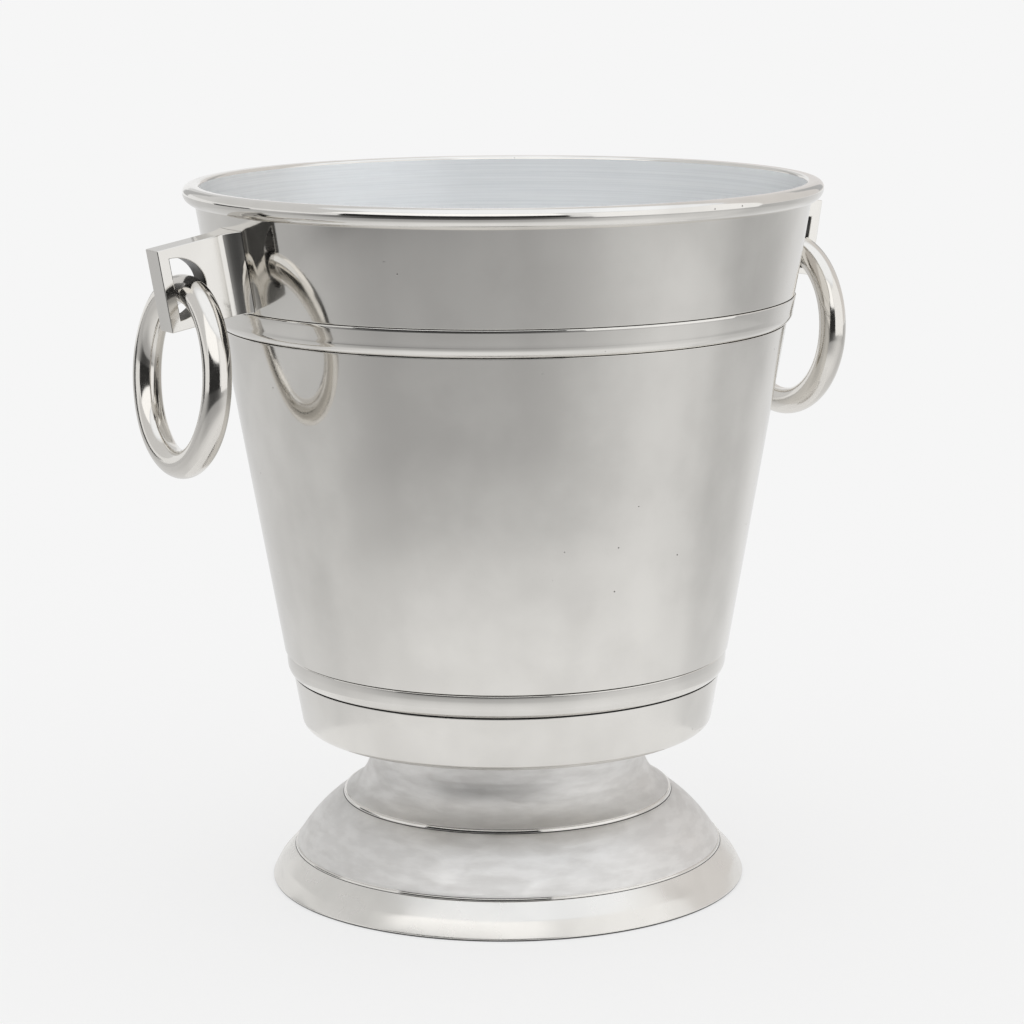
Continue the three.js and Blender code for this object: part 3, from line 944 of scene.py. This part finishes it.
@made_once
def brushed_nickel_painted_bright():
    """The inside: brushed round and round, cooler and rougher than the outside, its colour set far
    brighter as painted light.
    """
    recipe = Recipe("brushed_nickel_painted_bright")
    recipe.shader.inputs["Metallic"].default_value = 1
    recipe.shader.inputs["Anisotropic"].default_value = 0.8
    recipe.shader.inputs["Anisotropic Rotation"].default_value = 0.25
    tangent = recipe.add("Tangent", direction_type="RADIAL", axis="Z")
    recipe.link(tangent.outputs["Tangent"], recipe.shader.inputs["Tangent"])
    brushing = recipe.add("TexCoord")
    flat = recipe.add("VectorMath", operation="MULTIPLY")
    flat.inputs[1].default_value = (1, 1, 0)
    recipe.link(brushing.outputs["Object"], flat.inputs[0])
    radius = recipe.add("VectorMath", operation="LENGTH")
    recipe.link(flat.outputs["Vector"], radius.inputs[0])
    apart = recipe.add("SeparateXYZ")
    recipe.link(brushing.outputs["Object"], apart.inputs["Vector"])
    slowly = recipe.add("Math", operation="MULTIPLY")
    slowly.inputs[1].default_value = 0.012
    recipe.link(apart.outputs["X"], slowly.inputs[0])
    joined = recipe.add("CombineXYZ")
    recipe.link(slowly.outputs[0], joined.inputs["X"])
    recipe.link(radius.outputs["Value"], joined.inputs["Y"])
    recipe.link(apart.outputs["Z"], joined.inputs["Z"])
    lines = recipe.noise(joined.outputs["Vector"], 1700, 3)
    bands = recipe.noise(joined.outputs["Vector"], 320, 2)
    cloud = recipe.noise(recipe.place((1, 1, 1)), 28, 3)
    marks = recipe.spread(recipe.sum(lines, bands, 0.2), 0.4, 0.8, 0, 1)
    # painted light: a colour far brighter than the outside's nickel, standing in for light on the inside
    colour = recipe.tint(marks, (0.86, 0.88, 0.89), (0.96, 0.975, 0.98))
    rough = recipe.sum(recipe.spread(lines, 0.35, 0.65, 0.44, 0.52), cloud, 0.06)
    shape = recipe.bump(lines, 0.00005, 0.6)
    return recipe.finish(colour, rough, shape)


@made_once
def turned_steel():
    """Stainless fasteners, satin from turning."""
    recipe = Recipe("turned_steel")
    recipe.shader.inputs["Metallic"].default_value = 1
    grain = recipe.noise(recipe.place((1, 1, 1)), 900, 3)
    cloud = recipe.noise(recipe.place((1, 1, 1)), 160, 2)
    colour = recipe.tint(cloud, (0.52, 0.52, 0.52), (0.64, 0.64, 0.63))
    rough = recipe.sum(recipe.spread(cloud, 0.3, 0.7, 0.26, 0.36), grain, 0.08)
    return recipe.finish(colour, rough, recipe.bump(grain, 0.00002, 0.6))


@made_once
def seal_rubber():
    """Matt black rubber with a slightly dusty skin."""
    recipe = Recipe("seal_rubber")
    grain = recipe.noise(recipe.place((1, 1, 1)), 1400, 3)
    cloud = recipe.noise(recipe.place((1, 1, 1)), 220, 3)
    colour = recipe.tint(cloud, (0.016, 0.016, 0.017), (0.040, 0.040, 0.041))
    rough = recipe.spread(grain, 0.3, 0.7, 0.62, 0.8)
    return recipe.finish(colour, rough, recipe.bump(grain, 0.00005, 0.6))


# ------------------------------------------------------------------------- studio
def glow_material(name, colour, strength):
    """A plain glowing surface."""
    material = bpy.data.materials.new(name)
    material.use_nodes = True
    nodes = material.node_tree.nodes
    nodes.clear()
    glow = nodes.new("ShaderNodeEmission")
    glow.inputs["Color"].default_value = (*colour, 1)
    glow.inputs["Strength"].default_value = strength
    out = nodes.new("ShaderNodeOutputMaterial")
    material.node_tree.links.new(glow.outputs["Emission"], out.inputs["Surface"])
    return material


def only_in_reflections(card):
    """A card seen by the metal, not by the camera, and that lights nothing else."""
    card.visible_camera = False
    card.visible_diffuse = False
    card.visible_shadow = False


def direction(turn, rise):
    """Unit vector from the bucket: turn is to the camera's right of the camera, rise is up."""
    a = math.radians(turn - CAMERA_TURN)
    e = math.radians(rise)
    return Vector((math.sin(a) * math.cos(e), -math.cos(a) * math.cos(e), math.sin(e)))


def curved_card(name, turns, rises, distance, colour, strength):
    """Part of a sphere round the bucket, between two turns and two rises in degrees."""
    steps = 12
    middle = Vector((0, 0, 0.15))
    bm = bmesh.new()
    grid = []
    for i in range(steps + 1):
        rise = rises[0] + (rises[1] - rises[0]) * i / steps
        row = []
        for j in range(steps + 1):
            turn = turns[0] + (turns[1] - turns[0]) * j / steps
            row.append(bm.verts.new(middle + direction(turn, rise) * distance))
        grid.append(row)
    for i in range(steps):
        for j in range(steps):
            bm.faces.new((grid[i][j], grid[i][j + 1], grid[i + 1][j + 1], grid[i + 1][j]))
    card = new_piece(name, bm)
    coat(card, glow_material(name, colour, strength))
    only_in_reflections(card)
    return card


def overhead_softbox(height, across, towards, colour, rim, middle):
    """An oval card overhead, brightest in the middle; its reaches are (low, high) pairs."""
    aside = direction(90, 0)
    forward = direction(0, 0)
    centre = aside * sum(across) / 2 + forward * sum(towards) / 2 + Vector((0, 0, height))
    bm = bmesh.new()
    bmesh.ops.create_circle(bm, cap_ends=True, segments=96, radius=1)
    card = new_piece("overhead_softbox", bm)
    size = Matrix.Diagonal(((across[1] - across[0]) / 2, (towards[1] - towards[0]) / 2, 1, 1))
    turn = Matrix.Rotation(math.radians(-CAMERA_TURN), 4, "Z")
    card.matrix_world = Matrix.Translation(centre) @ turn @ size
    recipe = Recipe("overhead_softbox")
    length = recipe.add("VectorMath", operation="LENGTH")
    recipe.link(recipe.add("TexCoord").outputs["Object"], length.inputs[0])
    strength = recipe.spread(length.outputs["Value"], 0.72, 1.0, middle, rim)
    coat(card, recipe.finish_glow(strength, colour))
    only_in_reflections(card)
    return card


def ramp(recipe, value, low, high, stops, interpolation="EASE"):
    """A smooth curve along (value, result) stops, between two limits."""
    position = recipe.spread_evenly(value, low, high)
    curve = recipe.add("ValToRGB")
    curve.color_ramp.interpolation = interpolation
    elements = curve.color_ramp.elements
    while len(elements) < len(stops):
        elements.new(0.5)
    for element, (place, result) in zip(elements, stops):
        element.position = (place - low) / (high - low)
        element.color = (result, result, result, 1)
    recipe.link(position, curve.inputs["Fac"])
    return curve.outputs["Color"]


def table_shade():
    """The table as the metal sees it: paper that dims towards the camera, then ends."""
    steps = 96
    bm = bmesh.new()
    inner, outer = 0.20, 3.0
    rows = []
    for reach in (inner, outer):
        rows.append([bm.verts.new(direction(360 * i / steps, 0) * reach + Vector((0, 0, 0.0006)))
                     for i in range(steps)])
    for i in range(steps):
        j = (i + 1) % steps
        bm.faces.new((rows[0][i], rows[0][j], rows[1][j], rows[1][i]))
    card = new_piece("table_shade", bm)
    recipe = Recipe("table_shade")
    where = recipe.add("TexCoord").outputs["Object"]
    turned = recipe.add("VectorRotate", rotation_type="Z_AXIS", Angle=math.radians(CAMERA_TURN))
    recipe.link(where, turned.inputs["Vector"])
    length = recipe.add("VectorMath", operation="LENGTH")
    recipe.link(turned.outputs["Vector"], length.inputs[0])
    apart = recipe.add("SeparateXYZ")
    recipe.link(turned.outputs["Vector"], apart.inputs["Vector"])
    towards = recipe.add("Math", operation="MULTIPLY")
    towards.inputs[1].default_value = -1
    recipe.link(apart.outputs["Y"], towards.inputs[0])
    turn = recipe.add("Math", operation="ARCTAN2")
    recipe.link(apart.outputs["X"], turn.inputs[0])
    recipe.link(towards.outputs[0], turn.inputs[1])
    front = ramp(recipe, length.outputs["Value"], 0.2, 0.85, TABLE_FRONT)
    share = ramp(recipe, turn.outputs[0], -math.pi, math.pi,
                 [(math.radians(place), value) for place, value in TABLE_SHARE], "B_SPLINE")
    painted_dimming = ramp(recipe, turn.outputs[0], -math.pi, math.pi,
                   [(math.radians(place), value) for place, value in TABLE_PAINTED_DIMMING])
    mix = recipe.add("MixRGB", Color1=(PAPER, PAPER, PAPER, 1))
    recipe.link(front, mix.inputs["Color2"])
    recipe.link(share, mix.inputs["Fac"])
    light = recipe.multiply(mix.outputs["Color"], painted_dimming)
    coat(card, recipe.finish_glow(light))
    only_in_reflections(card)
    return card


def make_floor():
    """White paper, mostly evenly lit, that keeps a faint shadow under the foot."""
    bm = bmesh.new()
    bmesh.ops.create_grid(bm, x_segments=8, y_segments=8, size=6)
    floor = new_piece("paper_floor", bm)
    material = bpy.data.materials.new("paper")
    material.use_nodes = True
    shader = material.node_tree.nodes["Principled BSDF"]
    own = 0.34
    shader.inputs["Base Color"].default_value = (own, own, own, 1)
    shader.inputs["Roughness"].default_value = 0.9
    shader.inputs["Specular IOR Level"].default_value = 0
    shader.inputs["Emission Color"].default_value = (1, 1, 1, 1)
    shader.inputs["Emission Strength"].default_value = PAPER * (1 - own)
    coat(floor, material)


def make_world():
    world = bpy.data.worlds.new("studio")
    world.use_nodes = True
    background = world.node_tree.nodes["Background"]
    background.inputs["Color"].default_value = (PAPER, PAPER, PAPER, 1)
    background.inputs["Strength"].default_value = 1
    bpy.context.scene.world = world
    bpy.context.scene.view_settings.view_transform = "Standard"


def make_studio():
    make_world()
    make_floor()
    table_shade()
    cool = (0.975, 1.0, 1.035)
    white = (1.0, 1.0, 1.0)
    warm = (1.02, 0.99, 0.97)
    overhead_softbox(1.6, (-1.1, 1.7), (-0.8, 1.05), cool, PAPER, 1.16)
    curved_card("right_softbox", (30, 98), (-7, 45), 1.2, white, 1.08)
    curved_card("dark_room", (-58, 23), (-4, 22), 2.2, white, 0.03)
    curved_card("dark_gap_left", (-121, -97), (-4, 3.5), 2.2, white, 0.08)
    curved_card("grey_wall_left", (-176, -66), (12, 56), 2.4, white, 0.72)
    curved_card("grey_wall_right", (100, 176), (-1, 56), 2.4, warm, 0.76)
    curved_card("front_light", (-64, 22), (23, 60), 2.3, white, 1.28)
    curved_card("dark_gap_back", (150, 162), (2, 26), 2.2, white, 0.5)
    curved_card("dark_gap_back_left", (200, 212), (2, 26), 2.2, white, 0.5)


def make_camera():
    data = bpy.data.cameras.new("camera")
    data.lens = CAMERA_LENS
    data.sensor_width = 36
    data.clip_start = 0.05
    data.clip_end = 50
    camera = bpy.data.objects.new("camera", data)
    turn = Matrix.Rotation(math.radians(-CAMERA_TURN), 4, "Z")
    stand = Matrix.Translation((CAMERA_ASIDE, -CAMERA_DISTANCE, CAMERA_HEIGHT))
    tilt = Matrix.Rotation(math.radians(90 - CAMERA_TILT), 4, "X")
    roll = Matrix.Rotation(math.radians(CAMERA_ROLL), 4, "Z")
    camera.matrix_world = turn @ stand @ tilt @ roll
    bpy.context.scene.collection.objects.link(camera)
    bpy.context.scene.camera = camera


# -------------------------------------------------------------------- the object
make_camera()
make_studio()
for casting in (make_bowl(), make_upper_band(), make_lower_band(), make_foot()):
    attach(casting, "bucket")
for fastener in make_foot_fasteners():
    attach(fastener, "bucket")
for side in ("left", "right"):
    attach(make_lug(side), "bucket")
    for fastener in make_lug_fasteners(side):
        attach(fastener, "bucket")
    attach(make_ring(side), f"{side}_handle")
